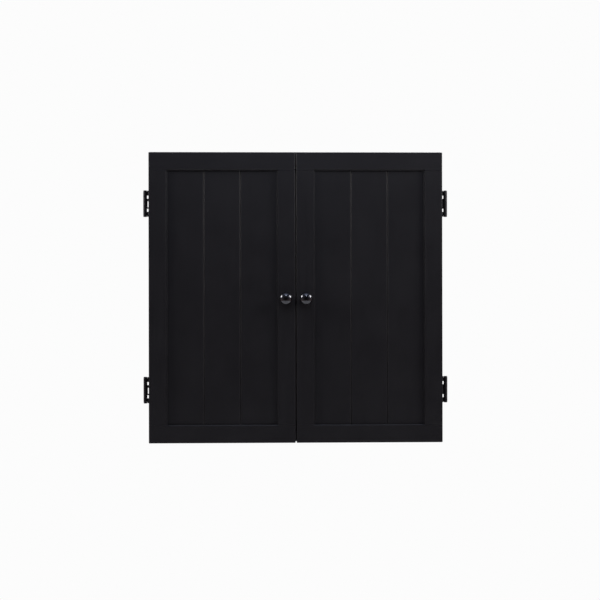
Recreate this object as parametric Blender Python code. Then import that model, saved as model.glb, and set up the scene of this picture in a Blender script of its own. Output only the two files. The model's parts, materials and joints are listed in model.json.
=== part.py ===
"""Wall-hung dart board cabinet: a shallow box with two framed doors on surface hinges.

X points right, Y points into the wall and Z points up.
The origin is the centre of the back panel's rear face, which rests on the wall.
"""

import math

import bmesh
import bpy
from mathutils import Matrix, Vector

MM = 0.001
X_AXIS = Vector((1, 0, 0))
Y_AXIS = Vector((0, 1, 0))
Z_AXIS = Vector((0, 0, 1))

# Clearance left wherever two pieces touch.
GAP = 0.3 * MM

# Box
BOX_WIDTH = 700 * MM
BOX_HEIGHT = 694 * MM
BOX_DEPTH = 64 * MM
BOARD = 24 * MM
BACK = 9 * MM
REBATE = 12 * MM
ARRIS = 1.5 * MM
WALL_HOLE_RADIUS = 3.5 * MM
WALL_HOLE_X = 203.2 * MM
WALL_HOLE_Z = 250 * MM

# Doors
SEAM = 2.6 * MM
DOOR_WIDTH = (BOX_WIDTH - SEAM) / 2
DOOR_HEIGHT = 692 * MM
DOOR_THICK = 22 * MM
DOOR_CLEARANCE = 2.6 * MM
DOOR_DROP = 2.2 * MM
STILE = 44 * MM
RAIL = 43 * MM
OPENING_ARRIS = 1.2 * MM

# Door panel, held in a groove round the frame
PANEL = 7 * MM
PANEL_RECESS = 8 * MM
GROOVE = 6 * MM
BOARD_LINES = 3
LINE_WIDTH = 3 * MM
LINE_DEPTH = 1.6 * MM

# Stub tenons on the stiles
TENON_WIDTH = 28 * MM
TENON_THICK = 6.4 * MM
TENON_LENGTH = 6 * MM

# Hinges
HINGE_HEIGHT = 63.5 * MM
HINGE_Z = 223 * MM
PIN_OUTSIDE = 10 * MM
PIN_RADIUS = 1.5 * MM
BORE_RADIUS = 1.6 * MM
KNUCKLE_RADIUS = 4.6 * MM
KNUCKLE_END = 28.6 * MM
KNUCKLE_JOINT = 15.7 * MM
LEAF = 2 * MM
LEAF_ROOT = 3 * MM
BOX_LEAF_REACH = 32 * MM
BOX_LEAF_SPINE = 6 * MM
ARM_INSIDE = 19.4 * MM
ARM_OUTSIDE = 31.2 * MM
PIN_HEAD_ROOM = 4.7 * MM
PIN_HEAD_ROUND = 1.2 * MM
TONGUE_REACH = 25 * MM
TONGUE_HALF_HEIGHT = 12 * MM
SLOT_SIZE = (4 * MM, 14.3 * MM)
SLOT_CENTRE = (7.8 * MM, -1.5 * MM)
COUNTERSINK = (3.6 * MM, 1.8 * MM)
BOX_LEAF_HOLE = (22 * MM, 25.3 * MM)
DOOR_LEAF_HOLE = (17.5 * MM, 6.5 * MM)

# Knobs
KNOB_RADIUS = 15 * MM
KNOB_HEIGHT = 27 * MM
KNOB_WIDEST = 17.5 * MM
KNOB_NECK = 5.5 * MM
KNOB_FOOT = 7.5 * MM
KNOB_FOOT_HEIGHT = 1.5 * MM
KNOB_X = 24 * MM
KNOB_Z = -4.2 * MM
KNOB_SOCKET = 12 * MM

# Magnetic catch under the top board, and its plates on the doors
CATCH_HALF_WIDTH = 32 * MM
CATCH_BODY_HALF_WIDTH = 22 * MM
CATCH_HEIGHT = 12 * MM
CATCH_FLANGE = 3.5 * MM
CATCH_DEPTH = 18 * MM
MAGNET_X = 12 * MM
MAGNET = (15.4 * MM, 11.7 * MM, 6.8 * MM)
MAGNET_PROUD = 1 * MM
CATCH_SCREW_X = 27.5 * MM
STRIKE = (38 * MM, 1 * MM, 12 * MM)
STRIKE_X = 23 * MM
STRIKE_SCREW_X = 34 * MM

# Bracket that the dartboard hangs on
BRACKET_HEIGHT = 60 * MM
BRACKET_HALF_WIDTH = 40 * MM
BRACKET_RAISED_HALF_WIDTH = 22 * MM
BRACKET_STEEL = 1.5 * MM
BRACKET_DEPTH = 10 * MM
BRACKET_SLOT_RADIUS = 5 * MM
BRACKET_SCREW = (31 * MM, 20 * MM)

# Scoreboard and dart holder inside each door
SCOREBOARD = (246 * MM, 3 * MM, 420 * MM)
SCOREBOARD_Z = 75 * MM
HOLDER_LENGTH = 110 * MM
HOLDER_X = 247 * MM
HOLDER_TOP = -266 * MM
HOLDER_HEIGHT = 34 * MM
HOLDER_DEPTH = 30 * MM
HOLDER_PLATE = 6 * MM
HOLDER_SHELF = 10 * MM
DART_HOLE_RADIUS = 4 * MM
DART_HOLE_SPACING = 36 * MM
HOLDER_ARRIS = 1 * MM
HOLDER_SCREW_X = 40 * MM
HOLDER_SCREW_Z = -290 * MM

# Door bumpers
BUMPER_RADIUS = 5 * MM
BUMPER_THICK = 2 * MM
BUMPER_X = 24 * MM
BUMPER_Z = 335 * MM

# Screws: (shank radius, head radius, head height)
WOOD_SCREW = (1.6 * MM, 3.2 * MM, 2.2 * MM)
KNOB_SCREW = (2.0 * MM, 4.2 * MM, 2.5 * MM)
SCREW_CLEARANCE = 0.3 * MM
SCREW_SIDES = 12
ROUND_SIDES = 24
KNOB_SIDES = 32

# Places that follow from the sizes above
BOX_FRONT = -BOX_DEPTH
DOOR_BACK = BOX_FRONT - DOOR_CLEARANCE
DOOR_FRONT = DOOR_BACK - DOOR_THICK
DOOR_MIDDLE_Y = (DOOR_BACK + DOOR_FRONT) / 2
DOOR_MIDDLE_X = (SEAM + DOOR_WIDTH) / 2
PANEL_FRONT = DOOR_FRONT + PANEL_RECESS
PANEL_BACK = PANEL_FRONT + PANEL
PANEL_MIDDLE_Y = (PANEL_FRONT + PANEL_BACK) / 2
OPENING = (DOOR_WIDTH - 2 * STILE, DOOR_HEIGHT - 2 * RAIL)
HINGE_Y = (BOX_FRONT + DOOR_BACK) / 2
HINGE_X = BOX_WIDTH / 2 + PIN_OUTSIDE
INNER_TOP = BOX_HEIGHT / 2 - BOARD
CATCH_TOP = INNER_TOP - GAP
MAGNET_Z = CATCH_TOP - CATCH_FLANGE - 4.5 * MM

SIDES = {"left": -1, "right": 1}
HEIGHTS = {"upper": 1, "lower": -1}


def clear_scene():
    for obj in list(bpy.data.objects):
        bpy.data.objects.remove(obj, do_unlink=True)


def finish(name, colour, roughness, metallic=0.0):
    """A Principled material with one colour."""
    material = bpy.data.materials.new(name)
    material.use_nodes = True
    shader = material.node_tree.nodes["Principled BSDF"]
    shader.inputs["Base Color"].default_value = (*colour, 1.0)
    shader.inputs["Roughness"].default_value = roughness
    shader.inputs["Metallic"].default_value = metallic
    return material


def block(size):
    """A box centred on the origin."""
    bm = bmesh.new()
    bmesh.ops.create_cube(bm, size=1.0)
    bmesh.ops.scale(bm, vec=Vector(size), verts=bm.verts)
    return bm


def ease(bm, width, chosen, segments=2):
    """Rounds the edges whose middle passes the test."""
    edges = [edge for edge in bm.edges if chosen((edge.verts[0].co + edge.verts[1].co) / 2)]
    bmesh.ops.bevel(
        bm, geom=edges, offset=width, segments=segments, profile=0.5, affect="EDGES", material=-1
    )
    return bm


def turn_to(bm, direction):
    """Turns a shape made along Z so that it points along the direction."""
    turn = Z_AXIS.rotation_difference(direction).to_matrix()
    bmesh.ops.rotate(bm, cent=Vector(), matrix=turn, verts=bm.verts)
    return bm


def add_rod(bm, middle, direction, radius, length, sides):
    turn = Z_AXIS.rotation_difference(direction).to_matrix().to_4x4()
    bmesh.ops.create_cone(
        bm, cap_ends=True, segments=sides, radius1=radius, radius2=radius, depth=length,
        matrix=Matrix.Translation(middle) @ turn,
    )


def rods(middles, direction, radius, length, sides=SCREW_SIDES):
    """One mesh of equal round bars, used to drill a row of holes."""
    bm = bmesh.new()
    for middle in middles:
        add_rod(bm, Vector(middle), direction, radius, length, sides)
    return bm


def countersinks(hole, inward, outward):
    """Cones for the two countersunk holes of a hinge leaf, wide at the face that points outward."""
    wide, narrow = COUNTERSINK
    slope = (wide - narrow) / LEAF
    spare = LEAF / 4
    bm = bmesh.new()
    turn = Z_AXIS.rotation_difference(outward).to_matrix().to_4x4()
    for up in (-1, 1):
        bmesh.ops.create_cone(
            bm, cap_ends=True, segments=SCREW_SIDES, depth=LEAF + 2 * spare,
            radius1=narrow - spare * slope, radius2=wide + spare * slope,
            matrix=Matrix.Translation((inward * hole[0], 0, up * hole[1])) @ turn,
        )
    return bm


def prism(outline, length, across, up):
    """A closed outline in the plane of two axes, given a length square to it, centred."""
    bm = bmesh.new()
    along = across.cross(up)
    corners = [bm.verts.new(u * across + v * up - along * length / 2) for u, v in outline]
    face = bm.faces.new(corners)
    raised = bmesh.ops.extrude_face_region(bm, geom=[face])
    moved = [item for item in raised["geom"] if isinstance(item, bmesh.types.BMVert)]
    bmesh.ops.translate(bm, vec=along * length, verts=moved)
    bmesh.ops.recalc_face_normals(bm, faces=bm.faces)
    return bm


def turned(profile, direction, sides):
    """A profile of (radius, height) points spun about Z, then pointed along the direction."""
    bm = bmesh.new()
    points = [bm.verts.new((radius, 0, height)) for radius, height in profile]
    lines = [bm.edges.new(pair) for pair in zip(points, points[1:])]
    bmesh.ops.spin(
        bm, geom=points + lines, cent=Vector(), axis=Z_AXIS, dvec=Vector(),
        angle=2 * math.pi, steps=sides, use_merge=True,
    )
    bmesh.ops.remove_doubles(bm, verts=bm.verts, dist=0.001 * MM)
    bmesh.ops.recalc_face_normals(bm, faces=bm.faces)
    return turn_to(bm, direction)


def place(name, bm, at, coat=None, parent=None, smooth=False):
    """Makes the object, at a place in the world, riding on its parent if it has one."""
    mesh = bpy.data.meshes.new(name)
    bm.to_mesh(mesh)
    bm.free()
    if coat:
        mesh.materials.append(coat)
    if smooth:
        mesh.shade_smooth()
        mesh.set_sharp_from_angle(angle=math.radians(35))
    obj = bpy.data.objects.new(name, mesh)
    bpy.context.scene.collection.objects.link(obj)
    obj.location = Vector(at)
    if parent:
        obj.parent = parent
        obj.location -= parent.location
    return obj


def tool(name, bm, at=(0, 0, 0), parent=None):
    """A cutter or a shape to be joined on: it shows as wire and isn't a piece."""
    helper = place(name, bm, at, parent=parent)
    helper.hide_render = True
    helper.display_type = "WIRE"
    return helper


def cut(obj, helper):
    modifier = obj.modifiers.new(helper.name, "BOOLEAN")
    modifier.operation = "DIFFERENCE"
    modifier.object = helper


def join(obj, helper):
    modifier = obj.modifiers.new(helper.name, "BOOLEAN")
    modifier.operation = "UNION"
    modifier.object = helper


def screw(name, under_head, outward, size, length, parent=None):
    """A pan-head screw. The middle of the underside of its head is at the given place."""
    shank, head, height = size
    profile = (
        (0, -length),
        (shank, -length + 2 * shank),
        (shank, 0),
        (head, 0),
        (head, height * 0.45),
        (head * 0.7, height),
        (0, height),
    )
    place(name, turned(profile, outward, SCREW_SIDES), under_head, ZINC, parent, smooth=True)


def pilot_holes(name, obj, under_heads, outward, size, length, parent=None):
    """Drills the holes that screws of that size and length need."""
    reach = length + GAP + 1 * MM
    middles = [Vector(point) - outward * (reach / 2 - GAP) for point in under_heads]
    cut(obj, tool(name, rods(middles, outward, size[0] + SCREW_CLEARANCE, reach), parent=parent))


def build_box():
    half_width = BOX_WIDTH / 2
    half_height = BOX_HEIGHT / 2
    rebate_size = (BOX_WIDTH - 2 * (BOARD - REBATE), 2 * (BACK + GAP), BOX_HEIGHT - 2 * (BOARD - REBATE))
    rebate = tool("back_rebate", block(Vector(rebate_size) + Vector((2 * GAP, 0, 2 * GAP))))

    for side, sign in SIDES.items():
        board = block((BOARD, BOX_DEPTH, BOX_HEIGHT))
        ease(board, ARRIS, lambda middle: middle.x * sign > -BOARD / 4)
        at = (sign * (half_width - BOARD / 2), -BOX_DEPTH / 2, 0)
        cut(place(side + "_side_board", board, at, PAINT), rebate)

    boards = {}
    for name, sign in (("top_board", 1), ("bottom_board", -1)):
        board = block((BOX_WIDTH - 2 * BOARD - 2 * GAP, BOX_DEPTH, BOARD))
        ease(board, ARRIS, lambda middle: middle.z * sign > 0 and abs(middle.x) < BOARD)
        at = (0, -BOX_DEPTH / 2, sign * (half_height - BOARD / 2))
        boards[name] = place(name, board, at, PAINT)
        cut(boards[name], rebate)

    panel_size = (rebate_size[0], BACK, rebate_size[2])
    back = place("back_panel", block(panel_size), (0, -BACK / 2, 0), PAINT)
    wall_holes = [(x * WALL_HOLE_X, -BACK / 2, z * WALL_HOLE_Z) for x in (-1, 1) for z in (-1, 1)]
    cut(back, tool("wall_holes", rods(wall_holes, Y_AXIS, WALL_HOLE_RADIUS, 2 * BACK, ROUND_SIDES)))
    return back, boards["top_board"]


def arc(middle, radius, start, end, steps):
    """Points along an arc, from one angle to the other."""
    for step in range(steps + 1):
        angle = start + (end - start) * step / steps
        yield middle[0] + radius * math.cos(angle), middle[1] + radius * math.sin(angle)


def build_bracket(back):
    """A hat-section hanger with a slot for the screw in the back of the dartboard."""
    wall = -BACK - GAP
    raised = wall - BRACKET_DEPTH
    half = BRACKET_RAISED_HALF_WIDTH
    steel = BRACKET_STEEL
    right_half = [
        (half - steel, raised + steel),
        (half - steel, wall),
        (BRACKET_HALF_WIDTH, wall),
        (BRACKET_HALF_WIDTH, wall - steel),
        (half, wall - steel),
        (half, raised),
    ]
    left_half = [(-x, y) for x, y in reversed(right_half)]
    hat = prism(right_half + left_half, BRACKET_HEIGHT, X_AXIS, Y_AXIS)
    ease(hat, steel * 0.6, lambda middle: abs(middle.z) < MM and middle.y < raised + MM / 2)
    bracket = place("dartboard_bracket", hat, (0, 0, 0), HINGE_BLACK)

    slot = list(arc((0, 0), BRACKET_SLOT_RADIUS, math.pi, 2 * math.pi, 10))
    slot += [(BRACKET_SLOT_RADIUS, BRACKET_HEIGHT), (-BRACKET_SLOT_RADIUS, BRACKET_HEIGHT)]
    cut(bracket, tool("hanger_slot", prism(slot, 4 * steel, X_AXIS, Z_AXIS), (0, raised, 0)))

    screw_x, screw_z = BRACKET_SCREW
    under_head = wall - steel - GAP
    points = [(x * screw_x, under_head, z * screw_z) for x in (-1, 1) for z in (1, -1)]
    length = BACK - 1.6 * MM
    for number, point in enumerate(points, 1):
        screw("bracket_screw_%d" % number, point, -Y_AXIS, WOOD_SCREW, length)
    pilot_holes("bracket_holes", bracket, points, -Y_AXIS, WOOD_SCREW, length)
    pilot_holes("bracket_pilot_holes", back, points, -Y_AXIS, WOOD_SCREW, length)


def build_catch(top):
    """A double magnetic catch: a plastic housing on a flange, with a magnet for each door."""
    half, body = CATCH_HALF_WIDTH, CATCH_BODY_HALF_WIDTH
    outline = [
        (-half, 0), (-half, -CATCH_FLANGE), (-body, -CATCH_FLANGE), (-body, -CATCH_HEIGHT),
        (body, -CATCH_HEIGHT), (body, -CATCH_FLANGE), (half, -CATCH_FLANGE), (half, 0),
    ]
    front = BOX_FRONT + GAP
    middle_y = front + CATCH_DEPTH / 2
    housing = prism(outline, CATCH_DEPTH, X_AXIS, Z_AXIS)
    housing = place("catch_housing", housing, (0, middle_y, CATCH_TOP), BROWN_PLASTIC)

    width, depth, height = MAGNET
    magnet_y = front - MAGNET_PROUD + depth / 2
    for side, sign in SIDES.items():
        at = (sign * MAGNET_X, magnet_y, MAGNET_Z)
        pocket = block((width + 2 * GAP, depth + 2 * GAP, height + 2 * GAP))
        cut(housing, tool(side + "_magnet_pocket", pocket, at))
        place(side + "_catch_magnet", block(MAGNET), at, FERRITE)

    under_head = CATCH_TOP - CATCH_FLANGE - GAP
    points = [(sign * CATCH_SCREW_X, middle_y, under_head) for sign in SIDES.values()]
    length = 15 * MM
    for side, point in zip(SIDES, points):
        screw(side + "_catch_screw", point, -Z_AXIS, WOOD_SCREW, length)
    pilot_holes("catch_holes", housing, points, -Z_AXIS, WOOD_SCREW, length)
    pilot_holes("catch_pilot_holes", top, points, -Z_AXIS, WOOD_SCREW, length)


def opening_arris(door, side, sign):
    """Slopes that ease the front and the back arris of the door's opening, mitred at its corners."""
    for name, face_y, outward in (("front", DOOR_FRONT, -1), ("back", DOOR_BACK, 1)):
        reach = 2 * OPENING_ARRIS
        slope = block((OPENING[0], 2 * reach, OPENING[1]))
        for vert in slope.verts:
            grow = reach if vert.co.y * outward > 0 else -reach
            vert.co.x += math.copysign(grow, vert.co.x)
            vert.co.z += math.copysign(grow, vert.co.z)
        at = (sign * DOOR_MIDDLE_X, face_y - outward * OPENING_ARRIS, -DOOR_DROP)
        yield tool("%s_door_%s_arris" % (side, name), slope, at, door)


def build_frame(door, side, sign):
    """Two stiles with stub tenons between two full-width rails, grooved for the panel."""
    middle = Vector((sign * DOOR_MIDDLE_X, DOOR_MIDDLE_Y, -DOOR_DROP))
    groove_size = (OPENING[0] + 2 * GROOVE, PANEL, OPENING[1] + 2 * GROOVE)
    groove = block(Vector(groove_size) + Vector((2 * GAP, 2 * GAP, 2 * GAP)))
    groove_at = (middle.x, PANEL_MIDDLE_Y, middle.z)
    cutters = [tool(side + "_panel_groove", groove, groove_at, door)]
    cutters += opening_arris(door, side, sign)

    stile_height = OPENING[1] - 2 * GAP
    tenon_x = OPENING[0] / 2 + STILE - 6 * MM - TENON_WIDTH / 2
    stiles = {}
    for name, edge in (("outer", sign), ("inner", -sign)):
        stile = block((STILE, DOOR_THICK, stile_height))
        ease(stile, ARRIS, lambda point: point.x * edge > STILE / 4 and abs(point.z) < MM)
        stile_x = middle.x + edge * (OPENING[0] + STILE) / 2
        node = "%s_door_%s_stile" % (side, name)
        stiles[name] = place(node, stile, (stile_x, middle.y, middle.z), PAINT, door)
        tenon = block((TENON_WIDTH, TENON_THICK, stile_height + 2 * TENON_LENGTH))
        tenon_at = (middle.x + edge * tenon_x, PANEL_MIDDLE_Y, middle.z)
        join(stiles[name], tool(node + "_tenons", tenon, tenon_at, door))

    socket = bmesh.new()
    for edge in (-1, 1):
        bmesh.ops.create_cube(
            socket, size=1.0,
            matrix=Matrix.Translation((edge * tenon_x, 0, 0)) @ Matrix.Diagonal((
                TENON_WIDTH + 2 * GAP, TENON_THICK + 2 * GAP,
                OPENING[1] + 2 * TENON_LENGTH + 2 * GAP, 1,
            )),
        )
    sockets = tool(side + "_tenon_sockets", socket, groove_at, door)

    rails = {}
    for name, up in (("top", 1), ("bottom", -1)):
        rail = block((DOOR_WIDTH, DOOR_THICK, RAIL))
        ease(rail, ARRIS, lambda point: point.z * up > -RAIL / 4)
        rail_z = middle.z + up * (OPENING[1] + RAIL) / 2
        node = "%s_door_%s_rail" % (side, name)
        rails[name] = place(node, rail, (middle.x, middle.y, rail_z), PAINT, door)
        cut(rails[name], sockets)

    for member in [*stiles.values(), *rails.values()]:
        for cutter in cutters:
            cut(member, cutter)
    return stiles["inner"], rails["top"]


def build_panel(door, side, sign):
    """The door's panel, its face divided into equal boards by V lines."""
    half_width = OPENING[0] / 2 + GROOVE
    front = -PANEL / 2
    outline = [(-half_width, PANEL / 2), (-half_width, front)]
    for line in range(1, BOARD_LINES):
        x = OPENING[0] * (line / BOARD_LINES - 0.5)
        outline += [(x - LINE_WIDTH / 2, front), (x, front + LINE_DEPTH), (x + LINE_WIDTH / 2, front)]
    outline += [(half_width, front), (half_width, PANEL / 2)]
    panel = prism(outline, OPENING[1] + 2 * GROOVE, X_AXIS, Y_AXIS)
    at = (sign * DOOR_MIDDLE_X, PANEL_MIDDLE_Y, -DOOR_DROP)
    return place(side + "_door_panel", panel, at, PAINT, door)


def build_knob(door, side, sign, stile):
    at = Vector((sign * KNOB_X, DOOR_FRONT - GAP, KNOB_Z))
    foot = [(0, 0), (KNOB_FOOT, 0), (KNOB_FOOT, KNOB_FOOT_HEIGHT), (KNOB_NECK, 2 * KNOB_FOOT_HEIGHT)]
    start = -math.acos(KNOB_NECK / KNOB_RADIUS)
    below = [
        (KNOB_RADIUS * math.cos(angle), KNOB_WIDEST + 7.5 * MM * math.sin(angle))
        for angle in (start * (6 - step) / 6 for step in range(6))
    ]
    above = [
        (KNOB_RADIUS * math.cos(angle), KNOB_WIDEST + (KNOB_HEIGHT - KNOB_WIDEST) * math.sin(angle))
        for angle in (math.pi / 2 * step / 8 for step in range(8))
    ]
    profile = foot + below + above + [(0, KNOB_HEIGHT)]
    knob = place(side + "_knob", turned(profile, -Y_AXIS, KNOB_SIDES), at, BLACK_NICKEL, door, smooth=True)
    socket = rods([at], Y_AXIS, KNOB_SCREW[0] + SCREW_CLEARANCE, 2 * KNOB_SOCKET)
    cut(knob, tool(side + "_knob_socket", socket, parent=door))

    under_head = Vector((at.x, DOOR_BACK + GAP, at.z))
    length = DOOR_THICK + 10 * MM
    screw(side + "_knob_screw", under_head, Y_AXIS, KNOB_SCREW, length, door)
    pilot_holes(side + "_knob_hole", stile, [under_head], Y_AXIS, KNOB_SCREW, length, door)


def build_strike(door, side, sign, rail):
    at = (sign * STRIKE_X, DOOR_BACK + GAP + STRIKE[1] / 2, MAGNET_Z)
    strike = place(side + "_strike_plate", block(STRIKE), at, ZINC, door)
    under_head = [(sign * STRIKE_SCREW_X, DOOR_BACK + 2 * GAP + STRIKE[1], MAGNET_Z)]
    length = 13 * MM
    screw(side + "_strike_screw", under_head[0], Y_AXIS, WOOD_SCREW, length, door)
    pilot_holes(side + "_strike_hole", strike, under_head, Y_AXIS, WOOD_SCREW, length, door)
    pilot_holes(side + "_strike_pilot_hole", rail, under_head, Y_AXIS, WOOD_SCREW, length, door)


def build_dart_holder(door, side, sign, panel):
    """A shelf with holes for darts, on a plate screwed to the back of the panel."""
    outline = [
        (0, 0), (0, -HOLDER_HEIGHT), (HOLDER_PLATE, -HOLDER_HEIGHT),
        (HOLDER_PLATE, -HOLDER_SHELF), (HOLDER_DEPTH, -HOLDER_SHELF), (HOLDER_DEPTH, 0),
    ]
    plate_y = PANEL_BACK + GAP
    middle_x = sign * HOLDER_X
    holder = prism(outline, HOLDER_LENGTH, Y_AXIS, Z_AXIS)
    ease(holder, HOLDER_ARRIS, lambda point: point.y > HOLDER_PLATE and point.z > -HOLDER_SHELF / 2)
    holder = place(side + "_dart_holder", holder, (middle_x, plate_y, HOLDER_TOP), PAINT, door)
    hole_y = plate_y + (HOLDER_PLATE + HOLDER_DEPTH) / 2
    holes = [(middle_x + step * DART_HOLE_SPACING, hole_y, HOLDER_TOP) for step in (-1, 0, 1)]
    drill = rods(holes, Z_AXIS, DART_HOLE_RADIUS, 3 * HOLDER_SHELF, ROUND_SIDES)
    cut(holder, tool(side + "_dart_holes", drill, parent=door))

    under_head_y = plate_y + HOLDER_PLATE + GAP
    points = [(middle_x + step * HOLDER_SCREW_X, under_head_y, HOLDER_SCREW_Z) for step in (-1, 1)]
    length = 11 * MM
    for number, point in enumerate(points, 1):
        screw("%s_holder_screw_%d" % (side, number), point, Y_AXIS, WOOD_SCREW, length, door)
    pilot_holes(side + "_holder_holes", holder, points, Y_AXIS, WOOD_SCREW, length, door)
    pilot_holes(side + "_holder_pilot_holes", panel, points, Y_AXIS, WOOD_SCREW, length, door)


def build_hinge(door, side, sign, height, up):
    """A non-mortise hinge: the door leaf's tongue closes into the C of the box leaf."""
    name = "%s_%s_hinge" % (side, height)
    at = Vector((sign * HINGE_X, HINGE_Y, up * HINGE_Z))
    inward = -sign

    reach, spine = BOX_LEAF_REACH, BOX_LEAF_REACH - BOX_LEAF_SPINE
    upper_arm = [
        (reach, ARM_OUTSIDE), (PIN_HEAD_ROOM, ARM_OUTSIDE), (PIN_HEAD_ROOM, KNUCKLE_END - GAP),
        (LEAF_ROOT, KNUCKLE_END - GAP), (LEAF_ROOT, ARM_INSIDE), (spine, ARM_INSIDE),
    ]
    c_shape = upper_arm + [(u, -v) for u, v in reversed(upper_arm)]
    c_shape = prism([(u * inward, v) for u, v in c_shape], LEAF, X_AXIS, Z_AXIS)
    ease(c_shape, 2 * LEAF, lambda point: abs(point.x) > spine + MM and abs(point.z) > ARM_INSIDE
         and abs(point.y) < MM / 2)
    box_leaf = place(name + "_box_leaf", c_shape, at, HINGE_BLACK)
    knuckle = KNUCKLE_END - KNUCKLE_JOINT
    knuckle_z = (KNUCKLE_END + KNUCKLE_JOINT) / 2
    knuckles = rods([(0, 0, knuckle_z), (0, 0, -knuckle_z)], Z_AXIS, KNUCKLE_RADIUS, knuckle, ROUND_SIDES)
    join(box_leaf, tool(name + "_box_knuckles", knuckles, at))
    bore = rods([(0, 0, 0)], Z_AXIS, BORE_RADIUS, HINGE_HEIGHT, ROUND_SIDES)
    bore = tool(name + "_bore", bore, at)
    cut(box_leaf, bore)
    cut(box_leaf, tool(name + "_box_holes", countersinks(BOX_LEAF_HOLE, inward, -Y_AXIS), at))

    tongue = block((TONGUE_REACH - LEAF_ROOT, LEAF, 2 * TONGUE_HALF_HEIGHT))
    ease(tongue, 2 * LEAF, lambda point: point.x * inward > MM and abs(point.z) > MM
         and abs(point.y) < MM / 2)
    tongue_at = at + Vector((inward * (TONGUE_REACH + LEAF_ROOT) / 2, 0, 0))
    door_leaf = place(name + "_door_leaf", tongue, tongue_at, HINGE_BLACK, door)
    middle_knuckle = 2 * (KNUCKLE_JOINT - GAP)
    knuckle = rods([(0, 0, 0)], Z_AXIS, KNUCKLE_RADIUS, middle_knuckle, ROUND_SIDES)
    join(door_leaf, tool(name + "_door_knuckle", knuckle, at, door))
    cut(door_leaf, bore)
    cut(door_leaf, tool(name + "_door_holes", countersinks(DOOR_LEAF_HOLE, inward, Y_AXIS), at, door))
    if side == "left":
        slot = block((SLOT_SIZE[0], 2 * LEAF, SLOT_SIZE[1]))
        slot_at = at + Vector((inward * SLOT_CENTRE[0], 0, SLOT_CENTRE[1]))
        cut(door_leaf, tool(name + "_slot", slot, slot_at, door))

    top = HINGE_HEIGHT / 2
    head = KNUCKLE_END + GAP
    head_radius = KNUCKLE_RADIUS * 0.94
    rounded = arc((head_radius - PIN_HEAD_ROUND, top - PIN_HEAD_ROUND), PIN_HEAD_ROUND, 0, math.pi / 2, 4)
    upper_half = [(PIN_RADIUS, head), (head_radius, head), *rounded, (0, top)]
    lower_half = [(radius, -z) for radius, z in reversed(upper_half)]
    pin = turned(lower_half + upper_half, Z_AXIS, ROUND_SIDES)
    place(name + "_pin", pin, at, HINGE_BLACK, smooth=True)


def build_door(side, sign):
    """One door. Everything on it rides on an empty that stands on the hinge axis."""
    door = bpy.data.objects.new(side + "_door_axis", None)
    door.location = (sign * HINGE_X, HINGE_Y, 0)
    bpy.context.scene.collection.objects.link(door)

    stile, rail = build_frame(door, side, sign)
    panel = build_panel(door, side, sign)
    build_knob(door, side, sign, stile)
    build_strike(door, side, sign, rail)
    build_dart_holder(door, side, sign, panel)
    scoreboard_at = (sign * DOOR_MIDDLE_X, PANEL_BACK + GAP + SCOREBOARD[1] / 2, SCOREBOARD_Z)
    place(side + "_scoreboard", block(SCOREBOARD), scoreboard_at, SLATE, door)
    for height, up in HEIGHTS.items():
        build_hinge(door, side, sign, height, up)
        bumper = rods([(0, 0, 0)], Y_AXIS, BUMPER_RADIUS, BUMPER_THICK, ROUND_SIDES)
        bumper_at = (sign * BUMPER_X, DOOR_BACK + GAP + BUMPER_THICK / 2, up * BUMPER_Z)
        place("%s_%s_bumper" % (side, height), bumper, bumper_at, FELT, door, smooth=True)


clear_scene()
PAINT = finish("satin_black_paint", (0.012, 0.011, 0.014), 0.45)
HINGE_BLACK = finish("hinge_black_coat", (0.010, 0.010, 0.011), 0.40, 0.6)
BLACK_NICKEL = finish("black_nickel", (0.045, 0.042, 0.045), 0.12, 1.0)
ZINC = finish("zinc_plate", (0.55, 0.56, 0.58), 0.35, 1.0)
BROWN_PLASTIC = finish("catch_plastic", (0.060, 0.035, 0.022), 0.50)
FERRITE = finish("ferrite_magnet", (0.035, 0.034, 0.035), 0.60)
SLATE = finish("slate_paint", (0.020, 0.024, 0.022), 0.80)
FELT = finish("bumper_felt", (0.040, 0.040, 0.040), 0.95)

back_panel, top_board = build_box()
build_bracket(back_panel)
build_catch(top_board)
for door_side, door_sign in SIDES.items():
    build_door(door_side, door_sign)
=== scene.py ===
"""Wall-hung dart board cabinet: its painted woodwork, hardware and studio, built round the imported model.

Everything is in metres. X points right, Y points into the wall and Z points up.
"""

import json
import math

import bmesh
import bpy
from mathutils import Matrix, Vector

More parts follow.
